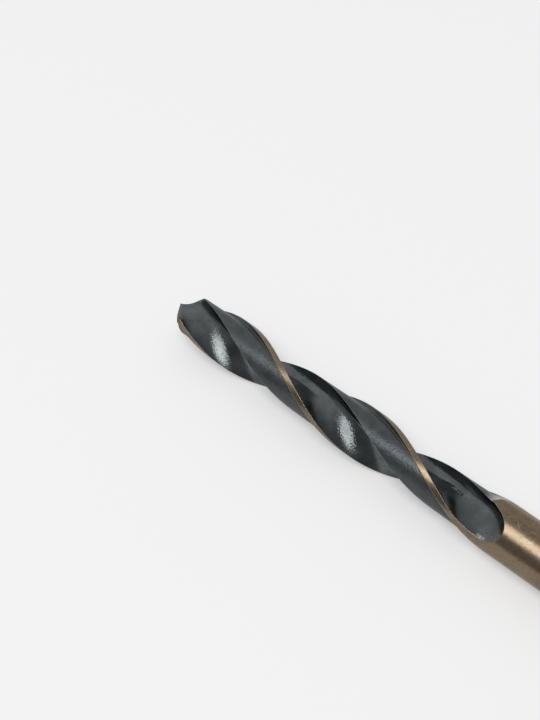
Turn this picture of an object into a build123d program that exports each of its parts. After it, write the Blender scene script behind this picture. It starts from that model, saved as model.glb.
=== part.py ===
from build123d import *
from math import cos, degrees, pi, radians, sin, sqrt, tan
import os

# A two-flute twist drill with a parallel shank, lying on its side along X.
# The origin is the centre of the shank's end face, and the point is at the -X end.
# A station is a distance from the point towards the shank. An angle in a cross-section
# is counted from the cutting edge of the first margin, by the right hand about +X.

# Driving dimensions, in millimetres and degrees
diameter = 13.0  # over the margins
shank_diameter = 12.96  # a little less, so that the shank clears the hole
overall_length = 151.0
flute_length = 101.0  # from the point to the end of the flutes
helix_angle = 26.5  # of the margins, to the axis
point_angle = 118.0  # between the two lips
roll_angle = 31.3  # from +Z to the first margin at the point, as the drill lies
shank_taper_length = 1.0  # behind the flutes, down to the shank's diameter
shank_chamfer = 0.8

margin_width = 1.42  # along the circumference
margin_step = 1.0  # from the margins down to the cleared land beside them
heel_step = 1.2  # the same at the heel, where the cleared land ends
land_angle = 80.0  # of a land, from its cutting edge to its heel
land_end_at_heel = 93.9  # station where the cleared land starts to run out
land_end_at_margin = 99.0  # station where it has run out
land_end_rise = 1.05  # how far its floor has then risen, in parts of its depth
heel_end_speed = 4.0  # how much faster it rises on the heel's side

web_thickness = 1.9  # between the two flutes at the point
web_growth = 0.3  # how much thicker the web is where the flutes end
face_angle = 67.0  # where the flute's face passes closest to the axis
floor_angle = 91.0  # where the face turns into the wall under the heel
floor_rise = 0.1  # how much further from the axis the face is there
floor_direction = -155.0  # of the section at that place
floor_pull = 1.55  # how far it keeps that direction
wall_direction = -65.0  # of the section where the wall reaches the heel
wall_pull = 2.35
heel_flare = 9.5  # how far the cutter's section leans back outside the heel

runout_length = 14.3  # over which the flutes rise to the surface
runout_radius = 20.0  # of the arc along which they rise
runout_angle = 82.0  # the side of the section towards which they rise

flank_relief = 18.0  # how far the flanks fall away behind the lips
flank_cone_angle = 30.0  # half angle of the cone that each flank is part of
flank_cone_reach = 13.0  # from that cone's tip to the drill's point

# The cutters stand out of the blank, pass the ends of their cuts, and follow the helix
# in steps, which are shorter where the cuts run out.
overhang = 2.0
overrun = 3.0
edge_overrun = 0.01
helix_step = 2.8
runout_step = 1.3

radius = diameter / 2
shank_radius = shank_diameter / 2
lead = pi * diameter / tan(radians(helix_angle))


def at(distance, angle):
    """A point of a cross-section, in polar form."""
    return Vector(distance * cos(radians(angle)), distance * sin(radians(angle)))


def section_plane(station):
    """The cross-section at a station, with its x axis at the first cutting edge."""
    turn = 90 + roll_angle + 360 * station / lead
    return Plane.YZ.offset(station - overall_length).rotated((turn, 0, 0))


def stations(start, change, end):
    """Stations from start to end, which lie closer together after the change."""
    count = int((change - start) / helix_step) + 1
    runout_count = int((end - change) / runout_step) + 1
    helical = [start + (change - start) * index / count for index in range(count)]
    rising = [change + (end - change) * index / runout_count for index in range(runout_count + 1)]
    return helical + rising


# The flute ahead of the first cutting edge, as one pass of a milling cutter that rises
# along an arc at its end. Its face is an arc that starts at the cutting edge.
full_depth_end = flute_length - runout_length
heel = at(radius - heel_step, land_angle - 180)
with BuildPart() as flute_cut:
    for station in stations(-overrun, full_depth_end, flute_length + 1):
        half_web = (web_thickness + web_growth * station / flute_length) / 2
        runout = max(0.0, station - full_depth_end)
        rise = runout_radius - sqrt(runout_radius**2 - runout**2)
        with BuildSketch(section_plane(station) * Pos(at(rise, -runout_angle))):
            with BuildLine():
                face = ThreePointArc(
                    at(radius + edge_overrun, 0),
                    at(half_web, -face_angle),
                    at(half_web + floor_rise, -floor_angle),
                )
                Bezier(
                    face @ 1,
                    face @ 1 + at(floor_pull, floor_direction),
                    heel - at(wall_pull, wall_direction),
                    heel,
                )
                Polyline(
                    heel,
                    at(radius + overhang, land_angle - 180 - heel_flare),
                    at(radius + 2 * overhang, land_angle / 2 - 90),
                    at(radius + overhang, 0),
                    face @ 0,
                )
            make_face()
    loft()

# The clearance behind the first margin. It runs out first at the heel, then at the margin.
margin_angle = degrees(margin_width / radius)
overlap_angle = 8.0  # how far the clearance passes the heel into the flute
with BuildPart() as land_cut:
    for station in stations(-overrun, land_end_at_heel, land_end_at_margin):
        fade = max(0.0, station - land_end_at_heel) / (land_end_at_margin - land_end_at_heel)
        margin_depth = margin_step * (1 - land_end_rise * fade**2)
        heel_depth = heel_step * (1 - land_end_rise * min(1.0, heel_end_speed * fade))
        end_angle = land_angle + overlap_angle
        end_angle -= (end_angle - 1.3 * margin_angle) * fade
        middle_angle = (margin_angle + end_angle) / 2
        with BuildSketch(section_plane(station)):
            with BuildLine():
                floor = ThreePointArc(
                    at(radius - margin_depth, margin_angle),
                    at(radius - (margin_depth + heel_depth) / 2, middle_angle),
                    at(radius - heel_depth, end_angle),
                )
                Polyline(
                    floor @ 1,
                    at(radius + overhang, end_angle),
                    at(radius + 2 * overhang, middle_angle),
                    at(radius + overhang, margin_angle),
                    floor @ 0,
                )
            make_face()
    loft()

# What the grinding wheel takes off one side of the point: all that lies outside a cone.
# The cone's side passes through the point along the lip, rolled back by the relief.
half_point = point_angle / 2
corner_station = radius / tan(radians(half_point))
lip_turn = 90 + roll_angle + 360 * corner_station / lead
flank_placement = (
    Plane.YZ.offset(-overall_length).rotated((lip_turn, 0, 0))
    * Rot(0, half_point, 0)
    * Rot(0, 0, flank_relief)
    * Pos(0, 0, -flank_cone_reach)
    * Rot(0, -flank_cone_angle, 0)
)
cone_length = flank_cone_reach + diameter
cone_radius = cone_length * tan(radians(flank_cone_angle))
on_base = (Align.CENTER, Align.CENTER, Align.MIN)
with BuildPart(flank_placement) as point_grind:
    Cylinder(cone_radius + diameter, cone_length, align=on_base)
    Cone(0, cone_radius, cone_length, align=on_base, mode=Mode.SUBTRACT)

# The drill: a turned bar, cut on both sides by the same three cuts. Its shank is plain.
with BuildPart() as twist_drill:
    with BuildSketch(Plane.XZ):
        with BuildLine():
            Polyline(
                (-overall_length, 0),
                (-overall_length, radius),
                (flute_length - overall_length, radius),
                (flute_length + shank_taper_length - overall_length, shank_radius),
                (-shank_chamfer, shank_radius),
                (0, shank_radius - shank_chamfer),
                (0, 0),
                close=True,
            )
        make_face()
    revolve(axis=Axis.X)
    for half_turn in (0, 180):
        for cut in (land_cut, flute_cut, point_grind):
            add(cut.part, rotation=(half_turn, 0, 0), mode=Mode.SUBTRACT)

twist_drill.part.label = "twist_drill"
os.makedirs("parts", exist_ok=True)
export_step(twist_drill.part, "parts/twist_drill.step")
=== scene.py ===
import math

import bmesh
import bpy
from mathutils import Matrix, Vector


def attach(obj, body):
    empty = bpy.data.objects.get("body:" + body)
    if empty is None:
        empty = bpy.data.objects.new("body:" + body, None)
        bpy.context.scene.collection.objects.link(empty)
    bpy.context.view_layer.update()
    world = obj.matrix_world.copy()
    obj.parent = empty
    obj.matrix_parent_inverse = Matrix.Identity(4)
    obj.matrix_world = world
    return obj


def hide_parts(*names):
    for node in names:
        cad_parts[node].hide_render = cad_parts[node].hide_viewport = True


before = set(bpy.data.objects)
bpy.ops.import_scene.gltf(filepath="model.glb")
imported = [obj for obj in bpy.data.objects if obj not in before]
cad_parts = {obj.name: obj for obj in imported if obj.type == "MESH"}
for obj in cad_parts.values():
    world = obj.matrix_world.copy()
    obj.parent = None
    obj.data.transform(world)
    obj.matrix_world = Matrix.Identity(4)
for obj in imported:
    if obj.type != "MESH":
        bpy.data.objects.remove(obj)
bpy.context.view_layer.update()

# The camera looks down on the drill from the side of its point. Its lens has 36 mm on the
# long side of the picture.
scene = bpy.context.scene
camera_data = bpy.data.cameras.new("camera")
camera_data.lens = 52.8
camera_data.clip_start = 0.01
camera = bpy.data.objects.new("camera", camera_data)
scene.collection.objects.link(camera)
camera_place = Matrix.Translation((-0.02334, -0.114946, 0.21647))
to_right = Vector((0.76402804, 0.64518303, 0.0))
to_top = Vector((-0.52685467, 0.62390317, 0.57720793))
camera_turn = Matrix((to_right, to_top, to_right.cross(to_top))).transposed()
camera.matrix_world = camera_place @ camera_turn.to_4x4()
scene.camera = camera

# The drill starts as a turned bar of high-speed steel, which lies along X with its point at
# the -X end. Its shank is a little thinner than its flutes and ends in a chamfer. It is made
# in millimetres and brought to metres once all its cuts are made.
length = 151.0
flute_length = 101.0
radius = 6.5
shank_radius = 6.48
shank_taper_length = 1.0
shank_chamfer = 0.8
bar_profile = (
    (-length, 0),
    (-length, radius),
    (flute_length - length, radius),
    (flute_length + shank_taper_length - length, shank_radius),
    (-shank_chamfer, shank_radius),
    (0, shank_radius - shank_chamfer),
    (0, 0),
)
bar_sides = 240
ring_spacing = 2.5
same_point = 0.00001  # how near two points are before they are made one


def solid_piece(name, shape):
    """Closes a bmesh off as an object, with its faces outwards."""
    bmesh.ops.remove_doubles(shape, verts=shape.verts, dist=same_point)
    bmesh.ops.triangulate(shape, faces=[face for face in shape.faces if len(face.verts) > 4])
    bmesh.ops.recalc_face_normals(shape, faces=shape.faces)
    mesh = bpy.data.meshes.new(name)
    shape.to_mesh(mesh)
    shape.free()
    piece = bpy.data.objects.new(name, mesh)
    scene.collection.objects.link(piece)
    return piece


def turned_piece(name, profile, sides):
    """A piece turned about the X axis from the (x, reach) points of its profile."""
    shape = bmesh.new()
    points = []
    for start, end in zip(profile, profile[1:]):
        count = 1 + int(math.dist(start, end) / ring_spacing)
        for step in range(count):
            x, reach = Vector(start).lerp(Vector(end), step / count)
            points.append(shape.verts.new((x, 0, reach)))
    points.append(shape.verts.new((profile[-1][0], 0, profile[-1][1])))
    for pair in zip(points, points[1:]):
        shape.edges.new(pair)
    bmesh.ops.spin(
        shape,
        geom=shape.verts[:] + shape.edges[:],
        axis=(1, 0, 0),
        cent=(0, 0, 0),
        angle=2 * math.pi,
        steps=sides,
        use_merge=True,
    )
    return solid_piece(name, shape)


drill = turned_piece("drill", bar_profile, bar_sides)

# The flutes are milled along a helix. A flute's section has a curved face that starts at the
# cutting edge, a curled floor, and a wall that rises to the heel of the next land. At the end
# the cutter rises along an arc and leaves a rounded scoop.
helix_angle = math.radians(26.5)
lead = math.pi * 2 * radius / math.tan(helix_angle)
roll_angle = 90 + 31.3  # of the first cutting edge at the point
land_angle = 80.0  # from a cutting edge to its heel
heel_step = 1.2  # the heel's depth below the cutting edge
web_thickness = 1.9  # between the flutes at the point
web_growth = 0.3  # towards the shank
face_angle = 67  # where the face passes closest to the axis
floor_angle = 91  # where the face turns into the wall
floor_rise = 0.1
edge_overrun = 0.01
wall_start_pull = (1.55, -155)  # how far and in which direction the wall leaves the floor
wall_end_pull = (2.35, -65)  # and reaches the heel
heel_flare = 9.5  # how far the cutter leans back outside the heel
cutter_overhang = 2.0
runout_length = 14.3  # over which the cutter rises out of the bar
runout_radius = 20.0
runout_direction = -82
helix_step = 0.5
point_overrun = 3.0
arc_steps = 30
wall_steps = 24


def at(distance, angle):
    """A point of a cross-section, in polar form."""
    turn = math.radians(angle)
    return Vector((distance * math.cos(turn), distance * math.sin(turn)))


def arc(start, middle, end):
    """Points along the circle through three points."""
    a = start - end
    b = middle - end
    twice_area = 2 * (a.x * b.y - a.y * b.x)
    to_centre = Vector((b.y, -b.x)) * a.length_squared - Vector((a.y, -a.x)) * b.length_squared
    centre = end + to_centre / twice_area
    first = math.atan2(start.y - centre.y, start.x - centre.x)
    last = math.atan2(end.y - centre.y, end.x - centre.x)
    sweep = (last - first + math.pi) % (2 * math.pi) - math.pi
    reach = (start - centre).length
    turns = [first + sweep * step / arc_steps for step in range(arc_steps + 1)]
    return [centre + Vector((math.cos(turn), math.sin(turn))) * reach for turn in turns]


def stations(last):
    """Distances from the point, from just ahead of it to the last one."""
    count = round((last + point_overrun) / helix_step)
    return [helix_step * step - point_overrun for step in range(count + 1)]


def on_helix(station, outline):
    """The points of a cross-section, turned to their place on the helix."""
    turn = math.radians(roll_angle + 360 * station / lead)
    return [
        (
            station - length,
            point.x * math.cos(turn) - point.y * math.sin(turn),
            point.x * math.sin(turn) + point.y * math.cos(turn),
        )
        for point in outline
    ]


def milled_cut(name, outlines):
    """What a cutter takes away, its outline extruded from station to station."""
    shape = bmesh.new()
    before = []
    ring = [shape.verts.new(point) for point in outlines[0]]
    shape.faces.new(ring)
    for outline in outlines[1:]:
        rim = [shape.edges.get(pair) for pair in zip(ring, ring[1:] + ring[:1])]
        bmesh.ops.extrude_edge_only(shape, edges=rim)
        used = set(ring + before)
        before = ring
        around = [{edge.other_vert(vert) for edge in vert.link_edges} for vert in ring]
        ring = [(neighbours - used).pop() for neighbours in around]
        for vert, point in zip(ring, outline):
            vert.co = point
    shape.faces.new(ring)
    return solid_piece(name, shape)


heel = at(radius - heel_step, land_angle - 180)
full_depth_end = flute_length - runout_length
flute_outlines = []
for station in stations(flute_length + 1):
    half_web = (web_thickness + web_growth * station / flute_length) / 2
    runout = max(0.0, station - full_depth_end)
    lift = at(runout_radius - math.sqrt(runout_radius**2 - runout**2), runout_direction)
    face = arc(
        at(radius + edge_overrun, 0),
        at(half_web, -face_angle),
        at(half_web + floor_rise, -floor_angle),
    )
    floor_end = face[-1]
    leaving = floor_end + at(*wall_start_pull)
    arriving = heel - at(*wall_end_pull)
    wall = []
    for step in range(1, wall_steps + 1):
        t = step / wall_steps
        lower = floor_end * (1 - t) ** 3 + leaving * 3 * t * (1 - t) ** 2
        upper = arriving * 3 * t**2 * (1 - t) + heel * t**3
        wall.append(lower + upper)
    outside = [
        at(radius + cutter_overhang, land_angle - 180 - heel_flare),
        at(radius + 2 * cutter_overhang, land_angle / 2 - 90),
        at(radius + cutter_overhang, 0),
    ]
    flute_outlines.append(on_helix(station, [point + lift for point in face + wall + outside]))

# The lands are ground down behind their cutting edges, so that only a narrow margin rubs in
# the hole. The clearance is a shallow cut along the same helix. It runs out before the shank,
# first at the heel and then at the margin, which leaves a slanting end.
margin_width = 1.42
margin_angle = math.degrees(margin_width / radius)
margin_step = 1.0  # the cleared land's depth beside the margin
land_end_at_heel = 93.9
land_end_at_margin = 99.0
land_end_rise = 1.05  # how far its floor has then risen, in parts of its depth
land_end_width = 1.3  # of the clearance where it ends, in parts of the margin's angle
heel_end_speed = 4
heel_overlap = 8.0

land_outlines = []
for station in stations(land_end_at_margin):
    fade = max(0.0, station - land_end_at_heel) / (land_end_at_margin - land_end_at_heel)
    margin_depth = margin_step * (1 - land_end_rise * fade**2)
    heel_depth = heel_step * (1 - land_end_rise * min(1.0, heel_end_speed * fade))
    end_angle = land_angle + heel_overlap
    end_angle -= (end_angle - land_end_width * margin_angle) * fade
    middle_angle = (margin_angle + end_angle) / 2
    floor = arc(
        at(radius - margin_depth, margin_angle),
        at(radius - (margin_depth + heel_depth) / 2, middle_angle),
        at(radius - heel_depth, end_angle),
    )
    outside = [
        at(radius + cutter_overhang, end_angle),
        at(radius + 2 * cutter_overhang, middle_angle),
        at(radius + cutter_overhang, margin_angle),
    ]
    land_outlines.append(on_helix(station, floor + outside))

# The point is ground by a wheel on each side. What stays of a flank is part of a cone, whose
# side passes along the lip and is rolled back, so that the flank falls away behind the lip.
half_point = math.radians(59)
flank_relief = math.radians(18)
flank_cone_angle = math.radians(30)
flank_cone_reach = 13.0  # from the cone's tip to the drill's point
flank_cone_length = 26.0
wheel_radius = 29.0
wheel_bore = 0.02  # at the cone's tip, so that no sides meet in a point there
wheel_start = -0.001  # just behind the cone's tip
wheel_sides = 360

cone_radius = flank_cone_length * math.tan(flank_cone_angle)
flank_profile = (
    (wheel_start, wheel_bore),
    (flank_cone_length, cone_radius),
    (flank_cone_length, wheel_radius),
    (wheel_start, wheel_radius),
    (wheel_start, wheel_bore),
)
lip_turn = math.radians(roll_angle + 360 * radius / math.tan(half_point) / lead)
across_the_axis = Matrix(((0, 0, 1, 0), (1, 0, 0, 0), (0, 1, 0, 0), (0, 0, 0, 1)))
flank_place = (
    Matrix.Translation((-length, 0, 0))
    @ Matrix.Rotation(lip_turn, 4, "X")
    @ across_the_axis
    @ Matrix.Rotation(half_point, 4, "Y")
    @ Matrix.Rotation(flank_relief, 4, "Z")
    @ Matrix.Translation((0, 0, -flank_cone_reach))
    @ Matrix.Rotation(-flank_cone_angle, 4, "Y")
    @ Matrix.Rotation(math.radians(-90), 4, "Y")
)

# Each cut is made twice, half a turn apart, and what it lays bare takes that cut's finish.
# Edges where the steel turns sharply stay crisp, and the ground surfaces are smooth.
cuts = ("land", "flute", "flank")
weld_distance = 0.002  # closes the slivers that the cuts leave
crisp_angle = math.radians(20)
metres_per_millimetre = 0.001

steel = {name: bpy.data.materials.new("steel_" + name) for name in ("ground", *cuts)}
drill.data.materials.append(steel["ground"])
cutters = []
for name in cuts:
    for half_turn in (0, 180):
        if name == "land":
            cutter = milled_cut(name, land_outlines)
        elif name == "flute":
            cutter = milled_cut(name, flute_outlines)
        else:
            cutter = turned_piece(name, flank_profile, wheel_sides)
            cutter.data.transform(flank_place)
        cutter.data.transform(Matrix.Rotation(math.radians(half_turn), 4, "X"))
        cutter.data.materials.append(steel[name])
        cutters.append(cutter)
        cut = drill.modifiers.new(name, "BOOLEAN")
        cut.operation = "DIFFERENCE"
        cut.solver = "EXACT"
        cut.object = cutter
        cut.material_mode = "TRANSFER"
bpy.context.view_layer.update()
cut_drill = drill.evaluated_get(bpy.context.evaluated_depsgraph_get())
drill_mesh = bpy.data.meshes.new_from_object(cut_drill)
drill.modifiers.clear()
drill.data = drill_mesh
for cutter in cutters:
    bpy.data.objects.remove(cutter)

shape = bmesh.new()
shape.from_mesh(drill_mesh)
bmesh.ops.remove_doubles(shape, verts=shape.verts, dist=weld_distance)
bmesh.ops.dissolve_degenerate(shape, edges=shape.edges, dist=weld_distance)
for face in shape.faces:
    face.smooth = True
for edge in shape.edges:
    edge.smooth = len(edge.link_faces) == 2 and edge.calc_face_angle() < crisp_angle
bmesh.ops.scale(shape, vec=(metres_per_millimetre,) * 3, verts=shape.verts)
shape.to_mesh(drill_mesh)
shape.free()
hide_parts("twist_drill")
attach(drill, "root")

# The lands, the flutes and the flanks are black oxide, a thin pitted skin on the steel. It is
# rubbed bright along the edges, where a painted highlight lies as well, silvery where the
# lands end, and marked by the wheel in the last flute. On the flutes' upper side it is
# glossier, and its pits break up the light.
oxide_finishes = {
    "land": {
        "dark": (0.086, 0.098, 0.103, 1),
        "light": (0.120, 0.135, 0.139, 1),
        "metallic": 0.85,
        "roughness": 0.36,
        "grain": 2100,
        "grain_depth": 0.000085,
    },
    "flute": {
        "dark": (0.115, 0.128, 0.130, 1),
        "light": (0.180, 0.199, 0.200, 1),
        "metallic": 1.0,
        "roughness": 0.12,
        "grain": 2150,
        "grain_depth": 0.000058,
    },
    "flank": {
        "dark": (0.100, 0.110, 0.115, 1),
        "light": (0.140, 0.150, 0.155, 1),
        "metallic": 1.0,
        "roughness": 0.30,
        "grain": 2400,
        "grain_depth": 0.000015,
    },
}
cloud_scale = 260.0
cloudy = (0.35, 0.65)  # where the noise goes over from one tone to the next
pitted = (0.58, 0.70)
pit_darkness = 0.86
gloss_clouds = (0.3, 0.7)
glossier, duller = -0.03, 0.05  # than the middle roughness
edge_width = 0.00012
edge_bend = (0.98, 0.90)  # between the flat and the rounded normal
# The sharp edges are painted lighter, partly for rubbed wear and partly as a painted
# highlight.
rubbed_oxide_and_highlight = (0.50, 0.50, 0.49, 1)
silvery_land = (0.55, 0.53, 0.51, 1)
silvery_reach = (-0.0590, -0.0565)  # where the land turns silvery
wheel_mark_tone = (0.03, 0.033, 0.034, 1)
wheel_marks = (
    ((-0.0680, 0.0017, 0.0010), (0.0026, 0.00040, 0.0012)),
    ((-0.0650, 0.0013, 0.0009), (0.00015, 0.0006, 0.0006)),
    ((-0.0643, 0.0011, 0.0009), (0.00015, 0.0006, 0.0006)),
    ((-0.0636, 0.0010, 0.0010), (0.00015, 0.0006, 0.0006)),
)
# A painted highlight: a small whitish speckled patch near the scoop of the last flute.
painted_glint_tone = (0.55, 0.58, 0.58, 1)
painted_glint_patch = ((-0.0544, -0.0057, 0.0020), (0.0013, 0.0005, 0.0008))
painted_glint_breakup = (0.42, 0.58)
mark_shake = (1600.0, 0.0005)
upper_side = (0.01, -0.40, 0.915)
upper_side_edge = (0.86, 0.96)  # how squarely the steel faces that way
wall_pitting = 0.12
wall_dullness = 0.07
scoop_reach = (-0.0790, -0.0710)  # where the pits grow shallower towards the scoop
scoop_pitting = 0.35


def node(owner, kind, settings=(), **inputs):
    """Adds a shader node, with its inputs set or joined to other nodes' outputs."""
    made = owner.node_tree.nodes.new("ShaderNode" + kind)
    for name, value in settings:
        setattr(made, name, value)
    for name, value in inputs.items():
        number = name[1:]
        socket = made.inputs[int(number)] if number.isdigit() else made.inputs[name]
        join(owner, socket, value)
    return made.outputs


def join(owner, socket, value):
    """Sets a socket, or joins it to another node's output."""
    if isinstance(value, bpy.types.NodeSocket):
        owner.node_tree.links.new(value, socket)
    else:
        socket.default_value = value


def finish_with(material, **inputs):
    """Sets or joins the inputs of the material's main shader."""
    shader = material.node_tree.nodes["Principled BSDF"]
    for name, value in inputs.items():
        join(material, shader.inputs[name.replace("_", " ")], value)


def blended(owner, factor, first, second):
    """One colour over another, as far as the factor says."""
    return node(owner, "Mix", [("data_type", "RGBA")], i0=factor, i6=first, i7=second)[2]


def ramp(owner, value, low, high, to_low=0.0, to_high=1.0):
    """The value brought from one range to another, and kept within it."""
    return node(owner, "MapRange", (), i0=value, i1=low, i2=high, i3=to_low, i4=to_high)[0]


def noise(owner, place, scale, detail):
    """An uneven pattern around 0.5."""
    return node(owner, "TexNoise", (), Vector=place, Scale=scale, Detail=detail)[0]


def combined(owner, operation, first, second=0.0):
    """One step of arithmetic on two values."""
    return node(owner, "Math", [("operation", operation)], i0=first, i1=second)[0]


def combined_places(owner, operation, first, second):
    """One step of arithmetic on two places."""
    return node(owner, "VectorMath", [("operation", operation)], i0=first, i1=second)


# The edge mask carries both rubbed wear and a painted highlight along the sharp edges.
def rubbed_and_highlit_edges(owner):
    """1 on the sharp edges, 0 elsewhere, and the normals that round those edges off."""
    rounded = node(owner, "Bevel", [("samples", 8)], Radius=edge_width)[0]
    flat = node(owner, "NewGeometry")["Normal"]
    bend = combined_places(owner, "DOT_PRODUCT", rounded, flat)["Value"]
    return ramp(owner, bend, *edge_bend), rounded


def shaken(owner, place, scale, amount):
    """The place, moved about a little, so that scratches don't run true."""
    off = node(owner, "TexNoise", (), Vector=place, Scale=scale, Detail=1.0)["Color"]
    off = combined_places(owner, "SUBTRACT", off, (0.5, 0.5, 0.5))[0]
    moves = [("operation", "MULTIPLY_ADD")]
    return node(owner, "VectorMath", moves, i0=off, i1=(amount,) * 3, i2=place)[0]


def spot(owner, place, centre, half_sizes):
    """1 inside an oval mark, 0 outside it."""
    off = combined_places(owner, "SUBTRACT", place, centre)[0]
    off = combined_places(owner, "DIVIDE", off, half_sizes)[0]
    away = node(owner, "VectorMath", [("operation", "LENGTH")], i0=off)["Value"]
    return ramp(owner, away, 1.0, 0.8)


for material in steel.values():
    material.use_nodes = True

for name, oxide in oxide_finishes.items():
    black = steel[name]
    place = node(black, "TexCoord")["Object"]
    along = node(black, "SeparateXYZ", (), Vector=place)["X"]
    clouds = noise(black, place, cloud_scale, 3.0)
    grain = noise(black, place, oxide["grain"], 2.0)
    pit_tone = tuple(pit_darkness * part for part in oxide["dark"][:3]) + (1,)
    tone = blended(black, ramp(black, clouds, *cloudy), oxide["dark"], oxide["light"])
    tone = blended(black, ramp(black, grain, *pitted), tone, pit_tone)
    edges, rounded = rubbed_and_highlit_edges(black)
    # Sharp edges painted lighter: partly rubbed wear, partly a painted highlight.
    tone = blended(black, edges, tone, rubbed_oxide_and_highlight)
    middle = oxide["roughness"]
    roughness = ramp(black, clouds, *gloss_clouds, middle + glossier, middle + duller)
    pitting = 1.0
    if name == "land":
        silvery = ramp(black, along, *silvery_reach)
        tone = blended(black, silvery, tone, silvery_land)
    if name == "flute":
        rough_place = shaken(black, place, *mark_shake)
        for centre, half_sizes in wheel_marks:
            mark = spot(black, rough_place, centre, half_sizes)
            tone = blended(black, mark, tone, wheel_mark_tone)
        # Painted highlight near the scoop, broken up by the grain.
        painted_glint = spot(black, rough_place, *painted_glint_patch)
        painted_glint = combined(black, "MULTIPLY", painted_glint, ramp(black, grain, *painted_glint_breakup))
        tone = blended(black, painted_glint, tone, painted_glint_tone)
        facing = node(black, "NewGeometry")["Normal"]
        upward = combined_places(black, "DOT_PRODUCT", facing, upper_side)["Value"]
        pitting = ramp(black, upward, *upper_side_edge, wall_pitting, 1.0)
        smoother = ramp(black, along, *scoop_reach, 1.0, scoop_pitting)
        pitting = combined(black, "MULTIPLY", pitting, smoother)
        dull_wall = ramp(black, upward, *upper_side_edge, wall_dullness, 0.0)
        roughness = combined(black, "ADD", roughness, dull_wall)
    bump = node(
        black,
        "Bump",
        (),
        Height=grain,
        Distance=oxide["grain_depth"],
        Strength=pitting,
        Normal=rounded,
    )[0]
    finish_with(
        black, Base_Color=tone, Metallic=oxide["metallic"], Roughness=roughness, Normal=bump
    )

# The shank and the margins were ground after the blackening and tempered to a bronze gold.
# They have fine grinding lines, streaks and mottling, dark specks, curled scratches on the
# shank near the flutes, and edges rubbed bright, with a painted highlight along them as well.
bronze_dark = (0.205, 0.149, 0.097, 1)
bronze_light = (0.288, 0.214, 0.144, 1)
streak_tone = (0.300, 0.228, 0.160, 1)
mottle_tone = (0.360, 0.276, 0.190, 1)
speck_tone = (0.13, 0.095, 0.065, 1)
scratch_tone = (0.47, 0.42, 0.35, 1)
# The bronze edges are painted lighter, partly for rubbed wear and partly as a painted
# highlight.
rubbed_bronze_and_highlight = (0.66, 0.62, 0.54, 1)
curled_scratches = (
    ((-0.0506, -0.0001, 0.0065), 0.0014),
    ((-0.0477, 0.0019, 0.0062), 0.0024),
    ((-0.0463, -0.0005, 0.0065), 0.0019),
    ((-0.0445, 0.0030, 0.0058), 0.0026),
)
scratch_shake = (260.0, 0.0040)
scratch_edge = (0.00007, 0.00002)
scratch_breaks = (0.45, 0.58)
margin_nick = ((-0.0793, 0.0004, 0.0065), (0.0009, 0.00015, 0.001))
bronze_cloud_scale = 200.0
mottle_scale = 1500.0
break_scale = 900.0
grinding_scale = (6000.0, 400.0, 400.0)
streak_scale = (50.0, 900.0, 900.0)
bronze_clouds = (0.3, 0.7)
streaked = (0.4, 0.7)
mottled = (0.38, 0.62)
specked = (0.62, 0.72)
veil = (0.0, 0.6)  # how far streaks and mottling cover what is below
grinding_depth = 0.000018

bronze = steel["ground"]
place = node(bronze, "TexCoord")["Object"]
clouds = noise(bronze, place, bronze_cloud_scale, 4.0)
mottle = noise(bronze, place, mottle_scale, 3.0)
around_bar = node(bronze, "Mapping", (), Vector=place, Scale=grinding_scale)[0]
grinding = noise(bronze, around_bar, 1.0, 2.0)
drawn_out = node(bronze, "Mapping", (), Vector=place, Scale=streak_scale)[0]
streaks = noise(bronze, drawn_out, 1.0, 2.0)
tone = blended(bronze, ramp(bronze, clouds, *bronze_clouds), bronze_dark, bronze_light)
tone = blended(bronze, ramp(bronze, streaks, *streaked, *veil), tone, streak_tone)
tone = blended(bronze, ramp(bronze, mottle, *mottled, *veil), tone, mottle_tone)
tone = blended(bronze, ramp(bronze, mottle, *specked), tone, speck_tone)
rough_place = shaken(bronze, place, *scratch_shake)
scratches = 0.0
for centre, reach in curled_scratches:
    away = combined_places(bronze, "DISTANCE", rough_place, centre)["Value"]
    off = combined(bronze, "ABSOLUTE", combined(bronze, "SUBTRACT", away, reach))
    scratches = combined(bronze, "MAXIMUM", scratches, ramp(bronze, off, *scratch_edge))
broken = ramp(bronze, noise(bronze, place, break_scale, 1.0), *scratch_breaks)
scratches = combined(bronze, "MULTIPLY", scratches, broken)
scratches = combined(bronze, "MAXIMUM", scratches, spot(bronze, rough_place, *margin_nick))
tone = blended(bronze, scratches, tone, scratch_tone)
edges, rounded = rubbed_and_highlit_edges(bronze)
# Sharp bronze edges painted lighter: partly rubbed wear, partly a painted highlight.
tone = blended(bronze, edges, tone, rubbed_bronze_and_highlight)
height = combined(bronze, "ADD", mottle, grinding)
bump = node(
    bronze, "Bump", (), Height=height, Distance=grinding_depth, Strength=1.0, Normal=rounded
)[0]
finish_with(bronze, Base_Color=tone, Metallic=1.0, Roughness=0.28, Normal=bump)

# The table is matt white. It catches the light and the drill's soft shadow, and it is a
# little lighter to the camera and in the steel than the lamp alone makes it.
table_half_width = 3
seen_glow = 0.316
mirrored_glow = 0.08

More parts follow.
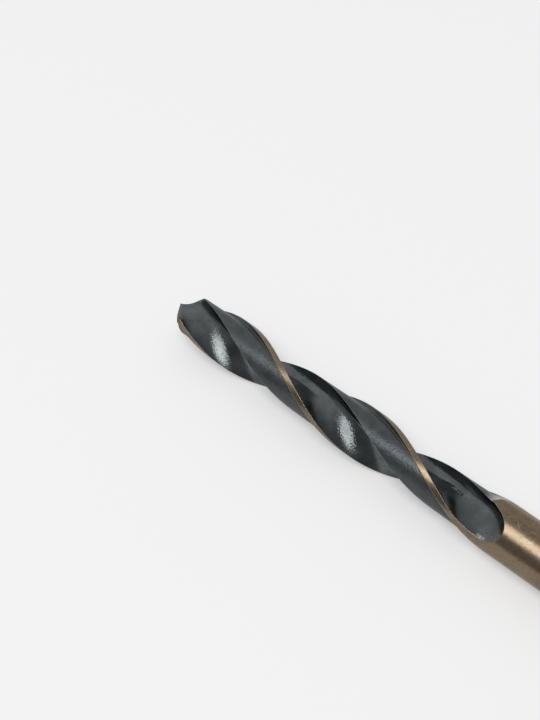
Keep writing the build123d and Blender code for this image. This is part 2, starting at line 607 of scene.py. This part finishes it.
shape = bmesh.new()
bmesh.ops.create_grid(shape, x_segments=1, y_segments=1, size=table_half_width)
drill_underside = (0, 0, -radius * metres_per_millimetre)
bmesh.ops.translate(shape, vec=drill_underside, verts=shape.verts)
table_mesh = bpy.data.meshes.new("table")
shape.to_mesh(table_mesh)
shape.free()
table = bpy.data.objects.new("table", table_mesh)
scene.collection.objects.link(table)
paint = bpy.data.materials.new("table_white")
paint.use_nodes = True
finish_with(paint, Base_Color=(0.85, 0.85, 0.85, 1), Roughness=1.0, Specular_IOR_Level=0.0)
ray = node(paint, "LightPath")
seen = combined(paint, "MULTIPLY", ray["Is Camera Ray"], seen_glow)
mirrored = combined(paint, "MULTIPLY", ray["Is Glossy Ray"], mirrored_glow)
glow = combined(paint, "ADD", seen, mirrored)
white = node(paint, "Emission", (), Color=(1.0, 1.0, 1.0, 1), Strength=glow)[0]
matt = paint.node_tree.nodes["Principled BSDF"].outputs[0]
surface = node(paint, "AddShader", (), i0=matt, i1=white)[0]
join(paint, paint.node_tree.nodes["Material Output"].inputs["Surface"], surface)
table.data.materials.append(paint)

# One wide soft lamp hangs nearly overhead, in a room that is dim but for a pale side behind
# the drill's point. The camera sees the room as a plain pale backdrop.
key_lamp = bpy.data.lights.new("key", "AREA")
key_lamp.shape = "ELLIPSE"
key_lamp.size = 2.35
key_lamp.size_y = 1.8
key_lamp.energy = 31
key_distance = 2.8
key_aim = Vector((-0.08, 0, 0))
key = bpy.data.objects.new("key", key_lamp)
scene.collection.objects.link(key)
key_back = Vector((0.02, -0.33, 0.944)).normalized()
key_side = Vector((0, 1, 0)).cross(key_back).normalized()
key_turn = Matrix((key_side, key_back.cross(key_side), key_back)).transposed()
key.matrix_world = Matrix.Translation(key_aim + key_back * key_distance) @ key_turn.to_4x4()

pale_side = (-0.85, 0.40, 0.35)
pale_side_reach = 0.9
room_dim, room_pale, backdrop_pale = 0.19, 0.60, 0.86

room = bpy.data.worlds.new("room")
room.use_nodes = True
toward = node(room, "TexCoord")["Generated"]
nearness = combined_places(room, "DOT_PRODUCT", toward, pale_side)["Value"]
room_light = node(
    room,
    "MapRange",
    [("interpolation_type", "SMOOTHSTEP")],
    i0=nearness,
    i1=0.0,
    i2=pale_side_reach,
    i3=room_dim,
    i4=room_pale,
)[0]
by_camera = node(room, "LightPath")["Is Camera Ray"]
backdrop = node(room, "Mix", (), i0=by_camera, i2=room_light, i3=backdrop_pale)[0]
background = room.node_tree.nodes["Background"].inputs
join(room, background["Color"], (1, 1, 1, 1))
join(room, background["Strength"], backdrop)
scene.world = room

scene.view_settings.view_transform = "Standard"
bpy.context.view_layer.update()
